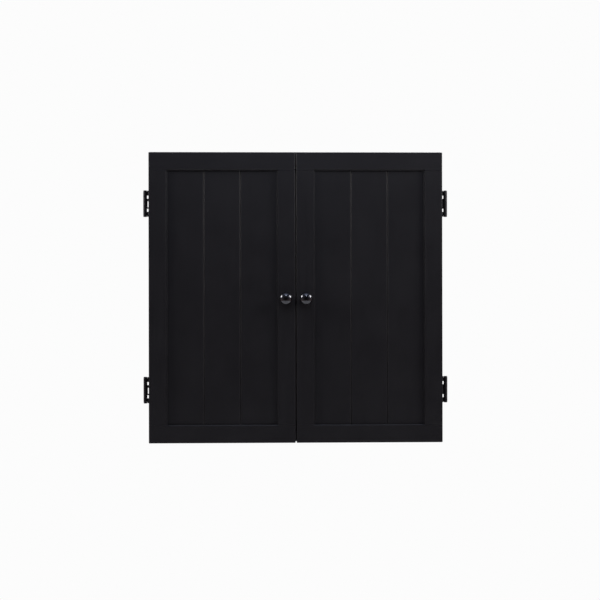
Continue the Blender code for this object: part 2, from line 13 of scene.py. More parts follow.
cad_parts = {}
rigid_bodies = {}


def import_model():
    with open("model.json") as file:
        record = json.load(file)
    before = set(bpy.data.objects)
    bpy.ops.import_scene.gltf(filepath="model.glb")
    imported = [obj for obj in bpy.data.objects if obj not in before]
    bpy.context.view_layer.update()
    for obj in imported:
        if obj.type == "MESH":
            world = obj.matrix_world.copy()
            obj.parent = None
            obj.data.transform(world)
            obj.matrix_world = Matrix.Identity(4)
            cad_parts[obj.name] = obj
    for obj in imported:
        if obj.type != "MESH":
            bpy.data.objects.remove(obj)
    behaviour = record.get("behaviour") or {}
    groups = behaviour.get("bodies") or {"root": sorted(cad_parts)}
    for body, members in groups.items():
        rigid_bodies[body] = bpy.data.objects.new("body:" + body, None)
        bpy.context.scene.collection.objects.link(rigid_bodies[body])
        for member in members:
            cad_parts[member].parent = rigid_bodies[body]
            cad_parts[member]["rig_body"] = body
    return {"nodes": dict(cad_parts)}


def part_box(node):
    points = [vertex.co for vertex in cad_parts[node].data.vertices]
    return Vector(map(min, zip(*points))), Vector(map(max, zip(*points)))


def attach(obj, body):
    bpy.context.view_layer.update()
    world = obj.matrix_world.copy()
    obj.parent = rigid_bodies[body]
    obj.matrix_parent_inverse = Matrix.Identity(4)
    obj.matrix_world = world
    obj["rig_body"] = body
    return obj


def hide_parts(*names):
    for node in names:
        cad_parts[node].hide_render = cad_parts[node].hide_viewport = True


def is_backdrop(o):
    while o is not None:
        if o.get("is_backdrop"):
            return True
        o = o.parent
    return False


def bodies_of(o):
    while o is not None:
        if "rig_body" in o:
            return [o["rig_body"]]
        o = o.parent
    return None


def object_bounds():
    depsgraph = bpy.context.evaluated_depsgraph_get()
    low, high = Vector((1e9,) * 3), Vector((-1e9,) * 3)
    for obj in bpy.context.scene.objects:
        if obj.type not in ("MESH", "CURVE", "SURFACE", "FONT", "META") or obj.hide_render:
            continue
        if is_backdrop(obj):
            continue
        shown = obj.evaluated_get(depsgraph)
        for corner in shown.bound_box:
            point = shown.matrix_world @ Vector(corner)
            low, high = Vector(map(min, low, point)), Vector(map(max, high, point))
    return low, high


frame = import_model()
cad_low, cad_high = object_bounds()

MM = 0.001
X_AXIS = Vector((1, 0, 0))
Y_AXIS = Vector((0, 1, 0))
Z_AXIS = Vector((0, 0, 1))

SIDES = {"left": -1, "right": 1}
HEIGHTS = ("upper", "lower")

# Turned and pressed hardware
KNOB_RADIUS = 15 * MM
KNOB_HEIGHT = 27 * MM
KNOB_WIDEST = 17.5 * MM
KNOB_NECK = 5.5 * MM
KNOB_FOOT = 7.5 * MM
KNOB_FOOT_ROUND = 0.4 * MM
KNOB_FOOT_RIM = 1.3 * MM
KNOB_COVE = 1.5 * MM
KNOB_COVE_HEIGHT = 3.4 * MM
KNOB_NECK_TOP = 7 * MM
KNOB_UNDERSIDE = 7.5 * MM
KNOB_SOCKET_RADIUS = 2.3 * MM
KNOB_SOCKET_DEPTH = 12 * MM
KNOB_STEPS = 96
PIN_RADIUS = 1.5 * MM
PIN_HEAD_RADIUS = 4.3 * MM
PIN_HEAD_HEIGHT = 2.85 * MM
PIN_HEAD_ROUND = 1.2 * MM
FINE_STEPS = 48

# Screws: shank radius, head radius, head height
WOOD_SCREW = (1.6 * MM, 3.2 * MM, 2.2 * MM)
KNOB_SCREW = (2.0 * MM, 4.2 * MM, 2.5 * MM)
HINGE_SCREW = (1.5 * MM, 3.4 * MM, 1.8 * MM)
HINGE_SCREW_LENGTH = 14 * MM
HINGE_SCREW_SUNK = 0.1 * MM
HINGE_LEAF_FACE = 1 * MM
# The holes of each leaf, from the pin: across, and up or down
BOX_LEAF_HOLE = (22 * MM, 25.3 * MM)
DOOR_LEAF_HOLE = (17.5 * MM, 6.5 * MM)

# Driver recess: reach and half width by the head's radius, depths by the head's height
RECESS_REACH = 0.62
RECESS_HALF_WIDTH = 0.14
RECESS_TAPER = 0.42
PAN_RECESS_DEPTH = 0.75
FLAT_RECESS_DEPTH = 0.9
PAN_HEAD_RIM = 0.45
HEAD_EASE = 0.2 * MM
# Degrees from one screw to the next, so that no two recesses line up
SCREW_TURN = 37
HINGE_SCREW_TURN = 23
HINGE_NAME_TURN = 31

# Softened edges
ARRIS = 0.5 * MM
PANEL_ARRIS = 0.35 * MM
SMALL_ARRIS = 0.6 * MM
HINGE_EDGE = 0.3 * MM
SHEET_EDGE = 0.25 * MM
MAGNET_EDGE = 0.15 * MM
POLE_PLATE = 1.1 * MM
FELT_RIM = 0.6 * MM

# Staples
STAPLE_INSET = 7 * MM
STAPLE_SPACING = 112 * MM
STAPLE_CROWN = 9 * MM
STAPLE_LEG = 7 * MM
STAPLE_WIRE = 1.1 * MM
STAPLE_SUNK = 0.35 * MM
STAPLE_STEPS = 12

# Print on the scoreboards
INK_WIDTH = 1.6 * MM
INK_RISE = 0.04 * MM
PRINT_MARGIN = 9 * MM
PRINT_HEAD_ROOM = 34 * MM
FIGURE_COLUMN = 26 * MM
PRINT_ROWS = 7
FIGURE_SIZE = 0.62
RING_OUTER = 0.27
RING_INNER = 0.21

# Studio: (direction, distance, size, radiance, colour)
LIGHT_AIM_Y = -0.09
LEFT_SOFTBOX = ((-0.856, -0.24, 0.385), 3.2, (1.05, 1.15), 15.5, "#fffdfd")
RIGHT_SOFTBOX = ((0.82, -0.34, 0.375), 3.2, (1.05, 1.15), 15.5, "#fffdfd")
TOP_SOFTBOX = ((0.02, -0.855, 0.52), 3.0, (0.38, 0.30), 17.0, "#e4ecff")
HIGH_PANEL = ((0.0, -0.62, 0.79), 2.6, (1.5, 0.9), 1.5, "#cfdcff")
RIGHT_FILL = ((0.66, -0.64, 0.36), 2.8, (1.3, 0.8), 1.1, "#f1efff")
BACK_SOFTBOX = ((0.25, 0.88, 0.40), 3.2, (2.0, 1.4), 4.5, "#fffdfb")
LOW_ROOM_COLOUR = "#ffe4e6"
HIGH_ROOM_COLOUR = "#dfe4ff"
ROOM_SIDE_LIGHT = 0.33
ROOM_FRONT_LIGHT = 0.025
ROOM_FRONT_FROM = 0.45
ROOM_TINT_FROM, ROOM_TINT_TO = -0.30, 0.35
BACKDROP_COLOUR = "#fcfcfc"
FLOOR_RADIUS = 1.95
FLOOR_MIDDLE_Y = -0.3
FLOOR_Z = -1.15

# Camera: millimetres for the lens and the sensor, degrees for the angles
LENS = 75.6
SENSOR_WIDTH = 36
CAMERA_DISTANCE = 3.0
CAMERA_AZIMUTH = -1.45
CAMERA_ROLL = -0.10
CAMERA_AIM = (0.0096, -0.0080)


def linear(code):
    """An sRGB hex colour as the linear values that a shader wants."""
    channels = [int(code[at:at + 2], 16) / 255 for at in (1, 3, 5)]
    return (*[c / 12.92 if c <= 0.04045 else ((c + 0.055) / 1.055) ** 2.4 for c in channels], 1.0)


def add(tree, kind, inputs=None, **settings):
    """Adds a node with its settings, and fills its inputs with values or with links."""
    node = tree.nodes.new(kind)
    for key, value in settings.items():
        setattr(node, key, value)
    for key, value in (inputs or {}).items():
        if isinstance(value, bpy.types.NodeSocket):
            tree.links.new(value, node.inputs[key])
        else:
            node.inputs[key].default_value = value
    return node


def new_finish(name):
    """An empty node tree for a finish, with the object's own coordinates."""
    finish = bpy.data.materials.new(name)
    finish.use_nodes = True
    tree = finish.node_tree
    tree.nodes.clear()
    return finish, tree, add(tree, "ShaderNodeTexCoord").outputs["Object"]


def shade(tree, **inputs):
    """Ends a finish with its shader. An underscore in a name stands for a space."""
    shader = add(
        tree, "ShaderNodeBsdfPrincipled", {key.replace("_", " "): value for key, value in inputs.items()}
    )
    add(tree, "ShaderNodeOutputMaterial", {"Surface": shader.outputs["BSDF"]})


# ---------------------------------------------------------------- finishes


def satin_black_lacquer(name, grain):
    """Sprayed satin black lacquer on close-grained hardwood boards.

    The eye gets a nearly black, faintly violet film with a soft sheen. The spray leaves an orange peel of
    1.6 mm, and the grain underneath telegraphs through as long shallow ridges along each board. Real ridges
    are 0.5 mm apart, too fine to show, so they are drawn 3 mm apart.
    """
    finish, tree, place = new_finish(name)
    along, across = 1 / (110 * MM), 1 / (3 * MM)
    stretch = [along if axis == grain else across for axis in "XYZ"]
    grain_place = add(tree, "ShaderNodeMapping", {"Vector": place, "Scale": stretch})
    ridges = add(
        tree, "ShaderNodeTexNoise",
        {"Vector": grain_place.outputs[0], "Scale": 1.0, "Detail": 3.0, "Roughness": 0.6, "Distortion": 0.4},
    )
    peel = add(tree, "ShaderNodeTexNoise", {"Vector": place, "Scale": 1 / (1.6 * MM), "Detail": 1.0})
    cloud = add(
        tree, "ShaderNodeTexNoise",
        {"Vector": place, "Scale": 1 / (90 * MM), "Detail": 3.0, "Roughness": 0.55},
    )
    mixed = add(
        tree, "ShaderNodeMath", {0: cloud.outputs["Fac"], 1: ridges.outputs["Fac"]}, operation="ADD"
    )
    tone = add(tree, "ShaderNodeMapRange", {"Value": mixed.outputs[0], "From Min": 0.7, "From Max": 1.3})
    colour = add(
        tree, "ShaderNodeMix",
        {0: tone.outputs[0], 6: linear("#080609"), 7: linear("#0b090c")}, data_type="RGBA",
    )
    sheen = add(
        tree, "ShaderNodeMapRange",
        {"Value": mixed.outputs[0], "From Min": 0.7, "From Max": 1.3, "To Min": 0.40, "To Max": 0.45},
    )
    grain_bump = add(
        tree, "ShaderNodeBump", {"Height": ridges.outputs["Fac"], "Strength": 0.4, "Distance": 0.02 * MM}
    )
    peel_bump = add(
        tree, "ShaderNodeBump",
        {"Height": peel.outputs["Fac"], "Strength": 0.3, "Distance": 0.01 * MM,
         "Normal": grain_bump.outputs[0]},
    )
    shade(
        tree, Base_Color=colour.outputs[2], Roughness=sheen.outputs[0], IOR=1.5, Normal=peel_bump.outputs[0]
    )
    return finish


def raw_fibreboard():
    """Unpainted medium-density fibreboard, pressed and sanded smooth.

    The eye gets a dull tan sheet, mottled by bundles of fibres about 2 mm across, in faint clouds 70 mm wide.
    """
    finish, tree, place = new_finish("raw_sanded_fibreboard")
    specks = add(
        tree, "ShaderNodeTexNoise",
        {"Vector": place, "Scale": 1 / (2.2 * MM), "Detail": 4.0, "Roughness": 0.75},
    )
    cloud = add(tree, "ShaderNodeTexNoise", {"Vector": place, "Scale": 1 / (70 * MM), "Detail": 3.0})
    mixed = add(
        tree, "ShaderNodeMath", {0: specks.outputs["Fac"], 1: cloud.outputs["Fac"]}, operation="ADD"
    )
    tone = add(tree, "ShaderNodeMapRange", {"Value": mixed.outputs[0], "From Min": 0.75, "From Max": 1.25})
    colour = add(
        tree, "ShaderNodeMix",
        {0: tone.outputs[0], 6: linear("#8a6d4f"), 7: linear("#b39672")}, data_type="RGBA",
    )
    dull = add(
        tree, "ShaderNodeMapRange", {"Value": specks.outputs["Fac"], "To Min": 0.72, "To Max": 0.88}
    )
    bump = add(
        tree, "ShaderNodeBump", {"Height": specks.outputs["Fac"], "Strength": 0.35, "Distance": 0.08 * MM}
    )
    shade(
        tree, Base_Color=colour.outputs[2], Roughness=dull.outputs[0], IOR=1.48, Normal=bump.outputs[0]
    )
    return finish


def black_nickel_plate():
    """Black nickel, bright-plated over a turned and polished brass knob.

    The eye gets a smoky near-black mirror with sharp highlights. Fine polishing scuffs 0.6 mm across
    and handling haze 7 mm across keep it from being perfect.
    """
    finish, tree, place = new_finish("bright_black_nickel_plate")
    haze = add(tree, "ShaderNodeTexNoise", {"Vector": place, "Scale": 1 / (7 * MM), "Detail": 4.0})
    scuffs = add(
        tree, "ShaderNodeTexNoise",
        {"Vector": place, "Scale": 1 / (0.6 * MM), "Detail": 2.0, "Roughness": 0.7},
    )
    tone = add(
        tree, "ShaderNodeMix",
        {0: haze.outputs["Fac"], 6: linear("#4f5053"), 7: linear("#585758")}, data_type="RGBA",
    )
    polish = add(
        tree, "ShaderNodeMapRange",
        {"Value": haze.outputs["Fac"], "From Min": 0.3, "From Max": 0.7, "To Min": 0.09, "To Max": 0.17},
    )
    bump = add(
        tree, "ShaderNodeBump", {"Height": scuffs.outputs["Fac"], "Strength": 0.15, "Distance": 0.01 * MM}
    )
    shade(
        tree, Base_Color=tone.outputs[2], Metallic=1.0, Roughness=polish.outputs[0], Normal=bump.outputs[0]
    )
    return finish


def electrocoated_steel():
    """Pressed sheet steel with a baked black electrocoat.

    The eye gets an even, slightly glossy black film that follows the faint rolling ripple of the sheet, and
    is a shade browner in patches 14 mm across.
    """
    finish, tree, place = new_finish("black_electrocoated_steel")
    ripple = add(
        tree, "ShaderNodeTexNoise",
        {"Vector": place, "Scale": 1 / (2.5 * MM), "Detail": 3.0, "Roughness": 0.6},
    )
    patches = add(tree, "ShaderNodeTexNoise", {"Vector": place, "Scale": 1 / (14 * MM), "Detail": 2.0})
    colour = add(
        tree, "ShaderNodeMix",
        {0: patches.outputs["Fac"], 6: linear("#0e0e10"), 7: linear("#1a1819")}, data_type="RGBA",
    )
    gloss = add(
        tree, "ShaderNodeMapRange",
        {"Value": ripple.outputs["Fac"], "From Min": 0.3, "From Max": 0.7, "To Min": 0.26, "To Max": 0.38},
    )
    bump = add(
        tree, "ShaderNodeBump", {"Height": ripple.outputs["Fac"], "Strength": 0.3, "Distance": 0.03 * MM}
    )
    shade(
        tree, Base_Color=colour.outputs[2], Roughness=gloss.outputs[0], IOR=1.52, Normal=bump.outputs[0]
    )
    return finish


def bright_zinc_plate():
    """Mild steel with bright zinc electroplate and a clear passivate.

    The eye gets a cool silver metal, softly hazed, with rolling lines 0.8 mm apart and cloudy grey bloom.
    """
    finish, tree, place = new_finish("bright_zinc_plated_steel")
    lines_place = add(
        tree, "ShaderNodeMapping", {"Vector": place, "Scale": (1 / (0.8 * MM), 1 / (0.8 * MM), 1 / (20 * MM))}
    )
    lines = add(
        tree, "ShaderNodeTexNoise", {"Vector": lines_place.outputs[0], "Scale": 1.0, "Detail": 3.0}
    )
    bloom = add(tree, "ShaderNodeTexNoise", {"Vector": place, "Scale": 1 / (9 * MM), "Detail": 4.0})
    colour = add(
        tree, "ShaderNodeMix",
        {0: bloom.outputs["Fac"], 6: linear("#b4b8bd"), 7: linear("#d2d5d8")}, data_type="RGBA",
    )
    haze = add(
        tree, "ShaderNodeMapRange",
        {"Value": bloom.outputs["Fac"], "From Min": 0.3, "From Max": 0.7, "To Min": 0.24, "To Max": 0.40},
    )
    bump = add(
        tree, "ShaderNodeBump", {"Height": lines.outputs["Fac"], "Strength": 0.25, "Distance": 0.02 * MM}
    )
    shade(
        tree, Base_Color=colour.outputs[2], Metallic=1.0, Roughness=haze.outputs[0], Normal=bump.outputs[0]
    )
    return finish


def moulded_brown_abs():
    """Brown ABS, injection moulded in a spark-eroded mould.

    The eye gets a dark chocolate plastic with an even fine matt grain. Real sparks leave pits of 0.1 mm,
    drawn at 0.6 mm so that they show.
    """
    finish, tree, place = new_finish("moulded_brown_abs")
    pits = add(tree, "ShaderNodeTexVoronoi", {"Vector": place, "Scale": 1 / (0.6 * MM)})
    flow = add(tree, "ShaderNodeTexNoise", {"Vector": place, "Scale": 1 / (12 * MM), "Detail": 3.0})
    colour = add(
        tree, "ShaderNodeMix",
        {0: flow.outputs["Fac"], 6: linear("#382418"), 7: linear("#452e20")}, data_type="RGBA",
    )
    matt = add(tree, "ShaderNodeMapRange", {"Value": flow.outputs["Fac"], "To Min": 0.42, "To Max": 0.58})
    bump = add(
        tree, "ShaderNodeBump", {"Height": pits.outputs["Distance"], "Strength": 0.3, "Distance": 0.04 * MM}
    )
    shade(
        tree, Base_Color=colour.outputs[2], Roughness=matt.outputs[0], IOR=1.54, Normal=bump.outputs[0]
    )
    return finish


def sintered_ferrite():
    """Ferrite magnet, pressed from powder and sintered.

    The eye gets a dull charcoal ceramic, rough with grains and small pores 0.5 mm across.
    """
    finish, tree, place = new_finish("sintered_ferrite")
    grains = add(
        tree, "ShaderNodeTexNoise",
        {"Vector": place, "Scale": 1 / (0.5 * MM), "Detail": 5.0, "Roughness": 0.8},
    )
    colour = add(
        tree, "ShaderNodeMix",
        {0: grains.outputs["Fac"], 6: linear("#1f1e20"), 7: linear("#3b393a")}, data_type="RGBA",
    )
    dull = add(tree, "ShaderNodeMapRange", {"Value": grains.outputs["Fac"], "To Min": 0.5, "To Max": 0.75})
    bump = add(
        tree, "ShaderNodeBump", {"Height": grains.outputs["Fac"], "Strength": 0.5, "Distance": 0.06 * MM}
    )
    shade(
        tree, Base_Color=colour.outputs[2], Roughness=dull.outputs[0], IOR=2.0, Normal=bump.outputs[0]
    )
    return finish


def chalkboard_paint():
    """Slate-coloured chalkboard paint, rolled on thin hardboard and already written on and wiped.

    The eye gets a flat grey-green black. The roller leaves a 1.2 mm stipple, and wiped chalk leaves pale
    drifts about 140 mm long and 26 mm tall, aslant across it.
    """
    finish, tree, place = new_finish("rolled_chalkboard_paint")
    stipple = add(tree, "ShaderNodeTexNoise", {"Vector": place, "Scale": 1 / (1.2 * MM), "Detail": 2.0})
    wiped = add(
        tree, "ShaderNodeMapping",
        {"Vector": place, "Rotation": (0, math.radians(18), 0), "Scale": (1 / (140 * MM), 1, 1 / (26 * MM))},
    )
    drifts = add(
        tree, "ShaderNodeTexNoise",
        {"Vector": wiped.outputs[0], "Scale": 1.0, "Detail": 6.0, "Roughness": 0.7, "Distortion": 0.8},
    )
    chalk = add(
        tree, "ShaderNodeMapRange",
        {"Value": drifts.outputs["Fac"], "From Min": 0.45, "From Max": 0.8, "To Min": 0.0, "To Max": 0.5},
    )
    colour = add(
        tree, "ShaderNodeMix",
        {0: chalk.outputs[0], 6: linear("#23292a"), 7: linear("#6a7070")}, data_type="RGBA",
    )
    flat = add(
        tree, "ShaderNodeMapRange", {"Value": stipple.outputs["Fac"], "To Min": 0.75, "To Max": 0.95}
    )
    bump = add(
        tree, "ShaderNodeBump", {"Height": stipple.outputs["Fac"], "Strength": 0.4, "Distance": 0.05 * MM}
    )
    shade(
        tree, Base_Color=colour.outputs[2], Roughness=flat.outputs[0], IOR=1.45, Normal=bump.outputs[0]
    )
    return finish


def screen_ink():
    """White screen-printing ink on the scoreboards.

    The eye gets chalky white lines and figures, slightly thin and broken where the mesh starved them.
    """
    finish, tree, place = new_finish("white_screen_print")
    starved = add(
        tree, "ShaderNodeTexNoise",
        {"Vector": place, "Scale": 1 / (0.9 * MM), "Detail": 4.0, "Roughness": 0.7},
    )
    cover = add(
        tree, "ShaderNodeMapRange", {"Value": starved.outputs["Fac"], "From Min": 0.35, "From Max": 0.6}
    )
    colour = add(
        tree, "ShaderNodeMix",
        {0: cover.outputs[0], 6: linear("#a9adab"), 7: linear("#dcdedb")}, data_type="RGBA",
    )
    flat = add(
        tree, "ShaderNodeMapRange", {"Value": starved.outputs["Fac"], "To Min": 0.55, "To Max": 0.75}
    )
    bump = add(
        tree, "ShaderNodeBump", {"Height": starved.outputs["Fac"], "Strength": 0.2, "Distance": 0.02 * MM}
    )
    shade(
        tree, Base_Color=colour.outputs[2], Roughness=flat.outputs[0], IOR=1.5, Normal=bump.outputs[0]
    )
    return finish


def pressed_felt():
    """Charcoal wool felt, needled and pressed.

    The eye gets a soft black-grey disc with a fuzz of fibres 0.4 mm across that catches light at its edge.
    """
    finish, tree, place = new_finish("pressed_charcoal_felt")
    fibres = add(
        tree, "ShaderNodeTexNoise",
        {"Vector": place, "Scale": 1 / (0.4 * MM), "Detail": 4.0, "Roughness": 0.8, "Distortion": 1.5},
    )
    colour = add(
        tree, "ShaderNodeMix",
        {0: fibres.outputs["Fac"], 6: linear("#1a1a1c"), 7: linear("#47474a")}, data_type="RGBA",
    )
    dull = add(tree, "ShaderNodeMapRange", {"Value": fibres.outputs["Fac"], "To Min": 0.85, "To Max": 1.0})
    bump = add(
        tree, "ShaderNodeBump", {"Height": fibres.outputs["Fac"], "Strength": 0.8, "Distance": 0.15 * MM}
    )
    shade(
        tree, Base_Color=colour.outputs[2], Roughness=dull.outputs[0], IOR=1.5, Sheen_Weight=0.4,
        Sheen_Roughness=0.5, Normal=bump.outputs[0],
    )
    return finish


def pale_studio_floor():
    """Matt white floor paint, rolled on board. The eye gets a plain pale ground with a barely seen mottle."""
    finish, tree, place = new_finish("matt_white_floor_paint")
    mottle = add(tree, "ShaderNodeTexNoise", {"Vector": place, "Scale": 1 / (250 * MM), "Detail": 3.0})
    colour = add(
        tree, "ShaderNodeMix",
        {0: mottle.outputs["Fac"], 6: linear("#dededc"), 7: linear("#e6e6e4")}, data_type="RGBA",
    )
    shade(tree, Base_Color=colour.outputs[2], Roughness=0.7)
    return finish


# ---------------------------------------------------------------- making pieces


def piece(name, bm, body, coats, replaces=(), smooth=35):
    """Makes a finished piece of a mesh that is already in its place, and lets it ride on its body."""
    mesh = bpy.data.meshes.new(name)
    bm.to_mesh(mesh)
    bm.free()
    for coat in coats:
        mesh.materials.append(coat)
    mesh.shade_smooth()
    mesh.set_sharp_from_angle(angle=math.radians(smooth))
    obj = bpy.data.objects.new(name, mesh)
    bpy.context.scene.collection.objects.link(obj)
    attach(obj, body)
    if replaces:
        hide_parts(*replaces)
    return obj


def body_of(node):
    """The name of the body that a CAD node rides on."""
    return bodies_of(frame["nodes"][node])[0]


def welded_copy(node):
    """The CAD node's surface as one welded shell with whole flat faces."""
    bm = bmesh.new()
    bm.from_mesh(frame["nodes"][node].data)
    bmesh.ops.remove_doubles(bm, verts=bm.verts, dist=0.002 * MM)
    bmesh.ops.dissolve_limit(
        bm, angle_limit=math.radians(0.5), use_dissolve_boundaries=False, verts=bm.verts, edges=bm.edges
    )
    return bm


def soften(bm, width, segments=2, least_angle=50):
    """Rounds every outward corner that is sharper than the angle, as paint, plating or a mould does."""
    edges = [
        edge for edge in bm.edges
        if len(edge.link_faces) == 2 and edge.is_convex
        and edge.calc_face_angle() > math.radians(least_angle)
    ]
    bmesh.ops.bevel(
        bm, geom=edges, offset=width, segments=segments, profile=0.5, affect="EDGES", material=-1,
        clamp_overlap=True,
    )
    return bm


def evenly_shaded(obj):
    """Keeps large faces flat and lets only the rounded edges between them shade smoothly."""
    even = obj.modifiers.new("even_normals", "WEIGHTED_NORMAL")
    even.mode = "FACE_AREA"
    even.weight = 100
    even.keep_sharp = True
    return obj


def refine(node, suffix, coat, slot, width, **options):
    """Replaces a CAD node by the same shape with softened edges."""
    bm = soften(welded_copy(node), width, **options)
    return evenly_shaded(piece(node + suffix, bm, body_of(node), [coat], [node]))


def pointed(bm, direction, at):
    """Turns a shape made along Z so that it points along the direction, and puts it in its place."""
    turn = Z_AXIS.rotation_difference(direction).to_matrix()
    bmesh.ops.rotate(bm, cent=Vector(), matrix=turn, verts=bm.verts)
    bmesh.ops.translate(bm, vec=at, verts=bm.verts)
    return bm


def spun(profile, steps):
    """A closed round shape from a profile of (radius, height) points that begins and ends on the axis."""
    bm = bmesh.new()
    points = [bm.verts.new((radius, 0, height)) for radius, height in profile]
    lines = [bm.edges.new(pair) for pair in zip(points, points[1:])]
    bmesh.ops.spin(
        bm, geom=points + lines, cent=Vector(), axis=Z_AXIS, dvec=Vector(),
        angle=2 * math.pi, steps=steps, use_merge=True,
    )
    bmesh.ops.remove_doubles(bm, verts=bm.verts, dist=0.001 * MM)
    bmesh.ops.recalc_face_normals(bm, faces=bm.faces)
    return bm


def arc(middle, radii, start, end, steps):
    """Points along an arc of an ellipse, by angle in degrees."""
    for step in range(steps + 1):
        angle = math.radians(start + (end - start) * step / steps)
        yield middle[0] + radii[0] * math.cos(angle), middle[1] + radii[1] * math.sin(angle)


def block(bm, low, high):
    """Adds a box between two corners."""
    size = high - low
    made = bmesh.ops.create_cube(bm, size=1.0)
    bmesh.ops.scale(bm, vec=size, verts=made["verts"])
    bmesh.ops.translate(bm, vec=(low + high) / 2, verts=made["verts"])
    return made["verts"]


# ---------------------------------------------------------------- screws


def cross_driver(reach, half_width, top, depth):
    """The tapered cross that a Phillips driver leaves, as a closed shape to cut with."""
    quarter = [(half_width, reach), (half_width, half_width), (reach, half_width)]
    outline = []
    for turn in range(4):
        spin = Matrix.Rotation(-turn * math.pi / 2, 2)
        outline += [spin @ Vector(point) for point in quarter]
    bm = bmesh.new()
    face = bm.faces.new([bm.verts.new((u, v, top)) for u, v in outline])
    sunk = bmesh.ops.extrude_face_region(bm, geom=[face])
    moved = [item for item in sunk["geom"] if isinstance(item, bmesh.types.BMVert)]
    bmesh.ops.translate(bm, vec=(0, 0, -depth), verts=moved)
    for vert in moved:
        vert.co.x *= RECESS_TAPER
        vert.co.y *= RECESS_TAPER
    bmesh.ops.recalc_face_normals(bm, faces=bm.faces)
    return bm


def with_recess(bm, reach, half_width, top, depth):
    """The shape with a cross recess cut into its top."""
    objects = []
    for label, shape in (("blank", bm), ("driver", cross_driver(reach, half_width, top, depth))):
        mesh = bpy.data.meshes.new(label)
        shape.to_mesh(mesh)
        shape.free()
        objects.append(bpy.data.objects.new(label, mesh))
        bpy.context.scene.collection.objects.link(objects[-1])
    blank, driver = objects
    cut = blank.modifiers.new("recess", "BOOLEAN")
    cut.operation = "DIFFERENCE"
    cut.object = driver
    graph = bpy.context.evaluated_depsgraph_get()
    graph.update()
    done = bpy.data.meshes.new_from_object(blank.evaluated_get(graph))
    for obj in objects:
        bpy.data.objects.remove(obj)
    return done


def pan_head_screw(size, length):
    """A pan-head screw along Z, with the underside of its head at the origin."""
    shank, head, height = size
    rim = PAN_HEAD_RIM * height
    profile = [(0, -length), (0.25 * shank, -length + 0.1 * shank)]
    profile += [(shank, -length + 2.5 * shank), (shank, 0)]
    profile += [(head - HEAD_EASE, 0), (head, HEAD_EASE)]
    profile += list(arc((0, rim), (head, height - rim), 0, 90, 8))[:-1]
    profile += [(0, height)]
    return with_recess(
        spun(profile, FINE_STEPS), RECESS_REACH * head, RECESS_HALF_WIDTH * head, height + HEAD_EASE,
        PAN_RECESS_DEPTH * height,
    )


def flat_head_screw(size, length):
    """A countersunk screw along Z, with the middle of its flat head at the origin."""
    shank, head, height = size
    profile = [
        (0, -length), (0.25 * shank, -length + 0.1 * shank), (shank, -length + 2.5 * shank), (shank, -height),
        (head - 0.1 * MM, -0.3 * MM), (head, -0.2 * MM), (head - 0.15 * MM, 0), (0, 0),
    ]
    return with_recess(
        spun(profile, FINE_STEPS), RECESS_REACH * head, RECESS_HALF_WIDTH * head, HEAD_EASE,
        FLAT_RECESS_DEPTH * height,
    )


def place_screw(name, template, outward, at, body, coat, replaces=(), turn=0.0):
    """Puts a copy of a screw in its place, its driver recess turned as it happened to end up."""
    bm = bmesh.new()
    bm.from_mesh(template)
    bmesh.ops.rotate(
        bm, cent=Vector(), matrix=Matrix.Rotation(math.radians(turn), 3, "Z"), verts=bm.verts
    )
    pointed(bm, outward, at)
    return piece(name, bm, body, [coat], replaces, smooth=40)


def replace_screw(node, number, template, height, outward):
    """Replaces a CAD screw by a detailed one in the same place."""
    low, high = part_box(node)
    tip = high if max(outward) > 0 else low
    at = (low + high) / 2
    for axis in range(3):
        if outward[axis]:
            at[axis] = tip[axis] - outward[axis] * height
    place_screw(
        node + "_cross_head", template, outward, at, body_of(node), ZINC, [node],
        turn=SCREW_TURN * number,
    )


# ---------------------------------------------------------------- the woodwork


def build_woodwork():
    """Painted boards and frames: every arris and joint softened by the paint."""
    for side in SIDES:
        refine(side + "_side_board", "_painted", PAINT_UPRIGHT, "satin_black_paint", ARRIS)
        for member in ("outer_stile", "inner_stile"):
            node = "%s_door_%s" % (side, member)
            refine(node, "_painted", PAINT_UPRIGHT, "satin_black_paint", ARRIS)
        for member in ("top_rail", "bottom_rail"):
            node = "%s_door_%s" % (side, member)
            refine(node, "_painted", PAINT_LEVEL, "satin_black_paint", ARRIS)
        refine(
            side + "_door_panel", "_painted", PAINT_UPRIGHT, "satin_black_paint", PANEL_ARRIS, least_angle=40
        )
        refine(side + "_dart_holder", "_painted", PAINT_LEVEL, "satin_black_paint", SMALL_ARRIS)
    for board in ("top_board", "bottom_board"):
        refine(board, "_painted", PAINT_LEVEL, "satin_black_paint", ARRIS)


def build_back():
    """The back panel: painted inside, raw on the side that faces the wall."""
    bm = soften(welded_copy("back_panel"), ARRIS)
    wall_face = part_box("back_panel")[1].y
    for face in bm.faces:
        if face.normal.y > 0.9 and face.calc_center_median().y > wall_face - 0.1 * MM:
            face.material_index = 1
    evenly_shaded(piece(
        "back_panel_painted_one_side", bm, body_of("back_panel"),
        [PAINT_UPRIGHT, FIBREBOARD], ["back_panel"],
    ))


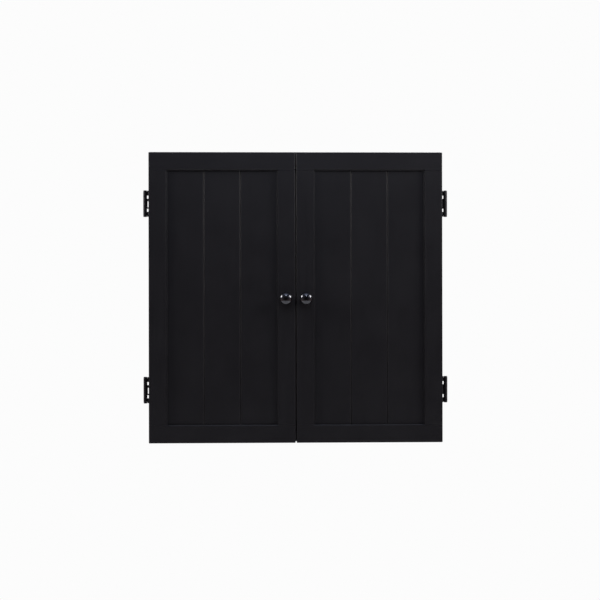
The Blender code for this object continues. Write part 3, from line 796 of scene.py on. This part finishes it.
def build_back_staples():
    """Crown staples that hold the back panel in its rebate, driven just below its surface."""
    low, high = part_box("back_panel")
    places = []
    for edge in (-1, 1):
        for step in range(-2, 3):
            along = (step * STAPLE_SPACING) * (1 + 0.02 * step)
            places.append((edge * (high.x - STAPLE_INSET), along, Z_AXIS))
            places.append((along, edge * (high.z - STAPLE_INSET), X_AXIS))
    for number, (x, z, lie) in enumerate(places, 1):
        bm = bmesh.new()
        bmesh.ops.create_cone(
            bm, cap_ends=True, segments=STAPLE_STEPS, radius1=STAPLE_WIRE / 2, radius2=STAPLE_WIRE / 2,
            depth=STAPLE_CROWN,
        )
        for end in (-1, 1):
            bmesh.ops.create_cone(
                bm, cap_ends=True, segments=STAPLE_STEPS, radius1=STAPLE_WIRE / 2, radius2=STAPLE_WIRE / 2,
                depth=STAPLE_LEG,
                matrix=Matrix.Translation((0, -STAPLE_LEG / 2, end * (STAPLE_CROWN - STAPLE_WIRE) / 2))
                @ Matrix.Rotation(math.pi / 2, 4, "X"),
            )
        if lie is X_AXIS:
            bmesh.ops.rotate(
                bm, cent=Vector(), matrix=Matrix.Rotation(math.pi / 2, 3, "Y"), verts=bm.verts
            )
        bmesh.ops.translate(bm, vec=(x, high.y - STAPLE_SUNK, z), verts=bm.verts)
        piece("back_panel_staple_%02d" % number, bm, "cabinet", [ZINC], smooth=50)


# ---------------------------------------------------------------- the hardware


def build_knob(side):
    """A turned mushroom knob on a small foot."""
    node = side + "_knob"
    low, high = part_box(node)
    at = Vector(((low.x + high.x) / 2, high.y, (low.z + high.z) / 2))
    neck_turn = math.degrees(math.acos(KNOB_NECK / KNOB_RADIUS))
    socket = [
        (0, KNOB_SOCKET_DEPTH), (KNOB_SOCKET_RADIUS, KNOB_SOCKET_DEPTH - 1 * MM),
        (KNOB_SOCKET_RADIUS, 0.3 * MM), (KNOB_SOCKET_RADIUS + 0.3 * MM, 0),
    ]
    foot_edge = KNOB_FOOT - KNOB_FOOT_ROUND
    foot_radii = (KNOB_FOOT_ROUND, KNOB_FOOT_ROUND)
    foot = [(foot_edge, 0), *arc((foot_edge, KNOB_FOOT_ROUND), foot_radii, -45, 0, 2)]
    foot += list(arc((foot_edge, KNOB_FOOT_RIM), foot_radii, 0, 90, 4))
    cove = list(arc((KNOB_NECK + KNOB_COVE, KNOB_COVE_HEIGHT), (KNOB_COVE, KNOB_COVE), -100, -180, 6))
    cove += [(KNOB_NECK, KNOB_NECK_TOP)]
    below = list(arc((0, KNOB_WIDEST), (KNOB_RADIUS, KNOB_UNDERSIDE), -neck_turn, 0, 22))
    above = list(arc((0, KNOB_WIDEST), (KNOB_RADIUS, KNOB_HEIGHT - KNOB_WIDEST), 0, 90, 26))[1:-1]
    profile = socket + foot + cove + below + above + [(0, KNOB_HEIGHT)]
    bm = pointed(spun(profile, KNOB_STEPS), -Y_AXIS, at)
    piece(node + "_turned", bm, body_of(node), [BLACK_NICKEL], [node], smooth=40)


def build_hinge(side, height, flat_screw):
    """Pressed leaves with eased edges, a pin with domed heads, and countersunk screws."""
    name = "%s_%s_hinge" % (side, height)
    sign = SIDES[side]
    box_leaf, door_leaf, pin = name + "_box_leaf", name + "_door_leaf", name + "_pin"
    refine(box_leaf, "_pressed", HINGE_BLACK, "hinge_black_coat", HINGE_EDGE)
    refine(door_leaf, "_pressed", HINGE_BLACK, "hinge_black_coat", HINGE_EDGE)

    low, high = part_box(pin)
    middle = (low + high) / 2
    top = (high.z - low.z) / 2
    head = top - PIN_HEAD_HEIGHT
    upper_half = [(PIN_RADIUS, head), (PIN_HEAD_RADIUS - 0.2 * MM, head), (PIN_HEAD_RADIUS, head + 0.2 * MM)]
    round_middle = (PIN_HEAD_RADIUS - PIN_HEAD_ROUND, top - PIN_HEAD_ROUND)
    upper_half += list(arc(round_middle, (PIN_HEAD_ROUND, PIN_HEAD_ROUND), 0, 90, 8))
    upper_half += [(0, top)]
    lower_half = [(radius, -z) for radius, z in reversed(upper_half)]
    bm = pointed(spun(lower_half + upper_half, FINE_STEPS), Z_AXIS, middle)
    piece(pin + "_domed", bm, body_of(pin), [HINGE_BLACK], [pin], smooth=40)

    leaves = (
        (box_leaf, "box", BOX_LEAF_HOLE, -Y_AXIS),
        (door_leaf, "door", DOOR_LEAF_HOLE, Y_AXIS),
    )
    for leaf, label, (across, up), outward in leaves:
        face_y = middle.y + outward.y * HINGE_LEAF_FACE
        for number, end in enumerate((1, -1), 1):
            at = Vector((
                sign * (abs(middle.x) - across), face_y - outward.y * HINGE_SCREW_SUNK, middle.z + end * up,
            ))
            place_screw(
                "%s_%s_screw_%d" % (name, label, number), flat_screw, outward, at, body_of(leaf),
                HINGE_BLACK,
                turn=HINGE_SCREW_TURN * number + HINGE_NAME_TURN * len(name + label),
            )


def build_catch():
    """The moulded housing, and each magnet as a ferrite block between two steel pole plates."""
    refine("catch_housing", "_moulded", BROWN_ABS, "catch_plastic", SMALL_ARRIS)
    for side in SIDES:
        node = side + "_catch_magnet"
        low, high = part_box(node)
        bm = bmesh.new()
        block(bm, low + Vector((0.2 * MM, 0.4 * MM, POLE_PLATE)), high - Vector((0.2 * MM, 0, POLE_PLATE)))
        block(bm, low, Vector((high.x, high.y, low.z + POLE_PLATE)))
        block(bm, Vector((low.x, low.y, high.z - POLE_PLATE)), high)
        for face in bm.faces:
            middle = face.calc_center_median()
            if min(middle.z - low.z, high.z - middle.z) < POLE_PLATE - 0.01 * MM:
                face.material_index = 1
        soften(bm, MAGNET_EDGE)
        piece(node + "_with_pole_plates", bm, body_of(node), [FERRITE, ZINC], [node])


def build_small_metal():
    """The dartboard bracket and the strike plates, with the eased edges of pressed sheet."""
    refine("dartboard_bracket", "_pressed", HINGE_BLACK, "hinge_black_coat", SHEET_EDGE)
    for side in SIDES:
        refine(side + "_strike_plate", "_pressed", ZINC, "zinc_plate", SHEET_EDGE)


def build_bumpers():
    """Felt discs with a soft rim."""
    for side in SIDES:
        for height in HEIGHTS:
            node = "%s_%s_bumper" % (side, height)
            low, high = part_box(node)
            radius, thick = (high.x - low.x) / 2, high.y - low.y
            profile = [(0, 0), (radius - 0.1 * MM, 0), (radius, 0.1 * MM)]
            profile += list(arc((radius - FELT_RIM, thick - FELT_RIM), (FELT_RIM, FELT_RIM), 0, 90, 5))
            profile += [(radius * 0.5, thick - 0.02 * MM), (0, thick - 0.02 * MM)]
            at = Vector(((low.x + high.x) / 2, low.y, (low.z + high.z) / 2))
            bm = pointed(spun(profile, FINE_STEPS), Y_AXIS, at)
            piece(node + "_felt", bm, body_of(node), [FELT], [node], smooth=50)


# ---------------------------------------------------------------- the scoreboards


def text_shape(words, size, at):
    """Flat figures that read correctly from the back of the door, centred on a point."""
    curve = bpy.data.curves.new("figures", "FONT")
    curve.body = words
    curve.size = size
    curve.align_x = "CENTER"
    curve.align_y = "CENTER"
    holder = bpy.data.objects.new("figures", curve)
    bpy.context.scene.collection.objects.link(holder)
    graph = bpy.context.evaluated_depsgraph_get()
    graph.update()
    mesh = bpy.data.meshes.new_from_object(holder.evaluated_get(graph))
    bpy.data.objects.remove(holder)
    facing_back = Matrix(((-1, 0, 0), (0, 0, 1), (0, 1, 0))).to_4x4()
    mesh.transform(Matrix.Translation(at) @ facing_back)
    return mesh


def printed_ring(row, at):
    """The ring that stands for the bull, as a thin raised print."""
    outer, inner = RING_OUTER * row, RING_INNER * row
    ring = bmesh.new()
    section = [(outer, 0), (outer, INK_RISE), (inner, INK_RISE), (inner, 0)]
    points = [ring.verts.new((radius, 0, up)) for radius, up in section]
    lines = [ring.edges.new((points[corner], points[(corner + 1) % 4])) for corner in range(4)]
    bmesh.ops.spin(
        ring, geom=points + lines, cent=Vector(), axis=Z_AXIS, dvec=Vector(),
        angle=2 * math.pi, steps=FINE_STEPS, use_merge=True,
    )
    bmesh.ops.remove_doubles(ring, verts=ring.verts, dist=0.001 * MM)
    bmesh.ops.recalc_face_normals(ring, faces=ring.faces)
    pointed(ring, Y_AXIS, at)
    mesh = bpy.data.meshes.new("ring")
    ring.to_mesh(mesh)
    ring.free()
    return mesh


def build_scoreboard(side):
    """A thin painted board printed with ruled columns and the numbers that darts players keep."""
    node = side + "_scoreboard"
    low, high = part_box(node)
    middle = (low + high) / 2
    bm = bmesh.new()
    block(bm, low, high)
    soften(bm, SMALL_ARRIS)
    evenly_shaded(piece(node + "_painted", bm, body_of(node), [CHALKBOARD], [node]))

    print_low, print_high = low.z + PRINT_MARGIN, high.z - PRINT_MARGIN
    row = (print_high - PRINT_HEAD_ROOM - print_low) / PRINT_ROWS
    left, right = low.x + PRINT_MARGIN, high.x - PRINT_MARGIN
    half = INK_WIDTH / 2
    levels = [print_high, *(print_low + step * row for step in range(PRINT_ROWS + 1))]
    strips = [((left, z - half), (right, z + half)) for z in levels]
    uprights = (left, right, middle.x - FIGURE_COLUMN, middle.x + FIGURE_COLUMN)
    strips += [((x - half, print_low), (x + half, print_high)) for x in uprights]
    bm = bmesh.new()
    for (x0, z0), (x1, z1) in strips:
        block(bm, Vector((x0, high.y, z0)), Vector((x1, high.y + INK_RISE, z1)))
    for step, number in enumerate(range(15, 21), 1):
        at = Vector((middle.x, high.y + INK_RISE, print_low + (step + 0.5) * row))
        bm.from_mesh(text_shape(str(number), FIGURE_SIZE * row, at))
    bm.from_mesh(printed_ring(row, Vector((middle.x, high.y, print_low + 0.5 * row))))
    piece(node + "_print", bm, body_of(node), [INK])


# ---------------------------------------------------------------- the studio


def build_floor():
    """A plain round floor below the cabinet."""
    bm = bmesh.new()
    bmesh.ops.create_circle(bm, cap_ends=True, segments=128, radius=FLOOR_RADIUS)
    bmesh.ops.translate(bm, vec=(0, FLOOR_MIDDLE_Y, FLOOR_Z), verts=bm.verts)
    mesh = bpy.data.meshes.new("studio_floor")
    bm.to_mesh(mesh)
    bm.free()
    mesh.materials.append(FLOOR_PAINT)
    floor = bpy.data.objects.new("studio_floor", mesh)
    bpy.context.scene.collection.objects.link(floor)
    floor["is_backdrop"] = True


def softbox(name, toward, distance, size, radiance, colour):
    """A rectangular light that faces the cabinet. Radiance is what a mirror would show of it."""
    lamp = bpy.data.lights.new(name, "AREA")
    lamp.shape = "RECTANGLE"
    lamp.size, lamp.size_y = size
    lamp.color = linear(colour)[:3]
    lamp.energy = radiance * math.pi * size[0] * size[1]
    obj = bpy.data.objects.new(name, lamp)
    bpy.context.scene.collection.objects.link(obj)
    direction = Vector(toward).normalized()
    obj.location = direction * distance + Vector((0, LIGHT_AIM_Y, 0))
    obj.rotation_euler = direction.to_track_quat("Z", "Y").to_euler()
    obj.visible_camera = False
    return obj


def build_lights():
    """Soft boxes round the cabinet, in a room that is dimmer in front of it than at its sides."""
    softbox("left_softbox", *LEFT_SOFTBOX)
    softbox("right_softbox", *RIGHT_SOFTBOX)
    softbox("top_softbox", *TOP_SOFTBOX)
    softbox("high_panel", *HIGH_PANEL)
    softbox("right_fill", *RIGHT_FILL)
    softbox("back_softbox", *BACK_SOFTBOX)
    world = bpy.data.worlds.new("white_studio")
    bpy.context.scene.world = world
    world.use_nodes = True
    tree = world.node_tree
    tree.nodes.clear()
    seen = add(tree, "ShaderNodeBackground", {"Color": linear(BACKDROP_COLOUR), "Strength": 1.0})
    toward = add(tree, "ShaderNodeTexCoord").outputs["Generated"]
    front = add(tree, "ShaderNodeVectorMath", {0: toward, 1: (0, -1, 0)}, operation="DOT_PRODUCT")
    up = add(tree, "ShaderNodeVectorMath", {0: toward, 1: (0, 0, 1)}, operation="DOT_PRODUCT")
    height = add(
        tree, "ShaderNodeMapRange",
        {"Value": up.outputs["Value"], "From Min": ROOM_TINT_FROM, "From Max": ROOM_TINT_TO},
    )
    tint = add(
        tree, "ShaderNodeMix",
        {0: height.outputs[0], 6: linear(LOW_ROOM_COLOUR), 7: linear(HIGH_ROOM_COLOUR)}, data_type="RGBA",
    )
    strength = add(
        tree, "ShaderNodeMapRange",
        {"Value": front.outputs["Value"], "From Min": ROOM_FRONT_FROM, "From Max": 1.0,
         "To Min": ROOM_SIDE_LIGHT, "To Max": ROOM_FRONT_LIGHT},
    )
    lit = add(tree, "ShaderNodeBackground", {"Color": tint.outputs[2], "Strength": strength.outputs[0]})
    path = add(tree, "ShaderNodeLightPath")
    both = add(
        tree, "ShaderNodeMixShader",
        {0: path.outputs["Is Camera Ray"], 1: lit.outputs[0], 2: seen.outputs[0]},
    )
    add(tree, "ShaderNodeOutputWorld", {"Surface": both.outputs[0]})


def build_camera():
    """A long lens, square on, a little left of the middle and a hair below it."""
    data = bpy.data.cameras.new("camera")
    data.sensor_width = SENSOR_WIDTH
    data.lens = LENS
    camera = bpy.data.objects.new("camera", data)
    bpy.context.scene.collection.objects.link(camera)
    turn = math.radians(CAMERA_AZIMUTH)
    back = Vector((math.sin(turn), -math.cos(turn), 0))
    aim = Vector((CAMERA_AIM[0], cad_low.y + KNOB_HEIGHT, CAMERA_AIM[1]))
    camera.location = aim + back * CAMERA_DISTANCE
    level = back.to_track_quat("Z", "Y").to_matrix()
    roll = Matrix.Rotation(math.radians(CAMERA_ROLL), 3, "Z")
    camera.rotation_euler = (level @ roll).to_euler()
    bpy.context.scene.camera = camera
    bpy.context.scene.view_settings.view_transform = "Standard"


PAINT_LEVEL = satin_black_lacquer("sprayed_satin_black_lacquer_level_grain", "X")
PAINT_UPRIGHT = satin_black_lacquer("sprayed_satin_black_lacquer_upright_grain", "Z")
FIBREBOARD = raw_fibreboard()
BLACK_NICKEL = black_nickel_plate()
HINGE_BLACK = electrocoated_steel()
ZINC = bright_zinc_plate()
BROWN_ABS = moulded_brown_abs()
FERRITE = sintered_ferrite()
CHALKBOARD = chalkboard_paint()
INK = screen_ink()
FELT = pressed_felt()
FLOOR_PAINT = pale_studio_floor()

build_woodwork()
build_back()
build_back_staples()
build_catch()
build_small_metal()
build_bumpers()
hinge_screw = flat_head_screw(HINGE_SCREW, HINGE_SCREW_LENGTH)
for side in SIDES:
    build_knob(side)
    build_scoreboard(side)
    for height in HEIGHTS:
        build_hinge(side, height, hinge_screw)

screw_kinds = (
    (["bracket_screw_%d" % n for n in range(1, 5)], WOOD_SCREW, -Y_AXIS),
    (["left_catch_screw", "right_catch_screw"], WOOD_SCREW, -Z_AXIS),
    (["left_strike_screw", "right_strike_screw"], WOOD_SCREW, Y_AXIS),
    (["%s_holder_screw_%d" % (side, n) for side in SIDES for n in (1, 2)], WOOD_SCREW, Y_AXIS),
    (["left_knob_screw", "right_knob_screw"], KNOB_SCREW, Y_AXIS),
)
for nodes, size, outward in screw_kinds:
    low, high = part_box(nodes[0])
    whole = max((high - low)[axis] for axis in range(3) if outward[axis])
    template = pan_head_screw(size, whole - size[2])
    for number, node in enumerate(nodes):
        replace_screw(node, number, template, size[2], outward)

build_floor()
build_lights()
build_camera()

# Templates and figures that only served to make pieces
for leftover in [mesh for mesh in bpy.data.meshes if mesh.users == 0]:
    bpy.data.meshes.remove(leftover)

low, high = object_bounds()
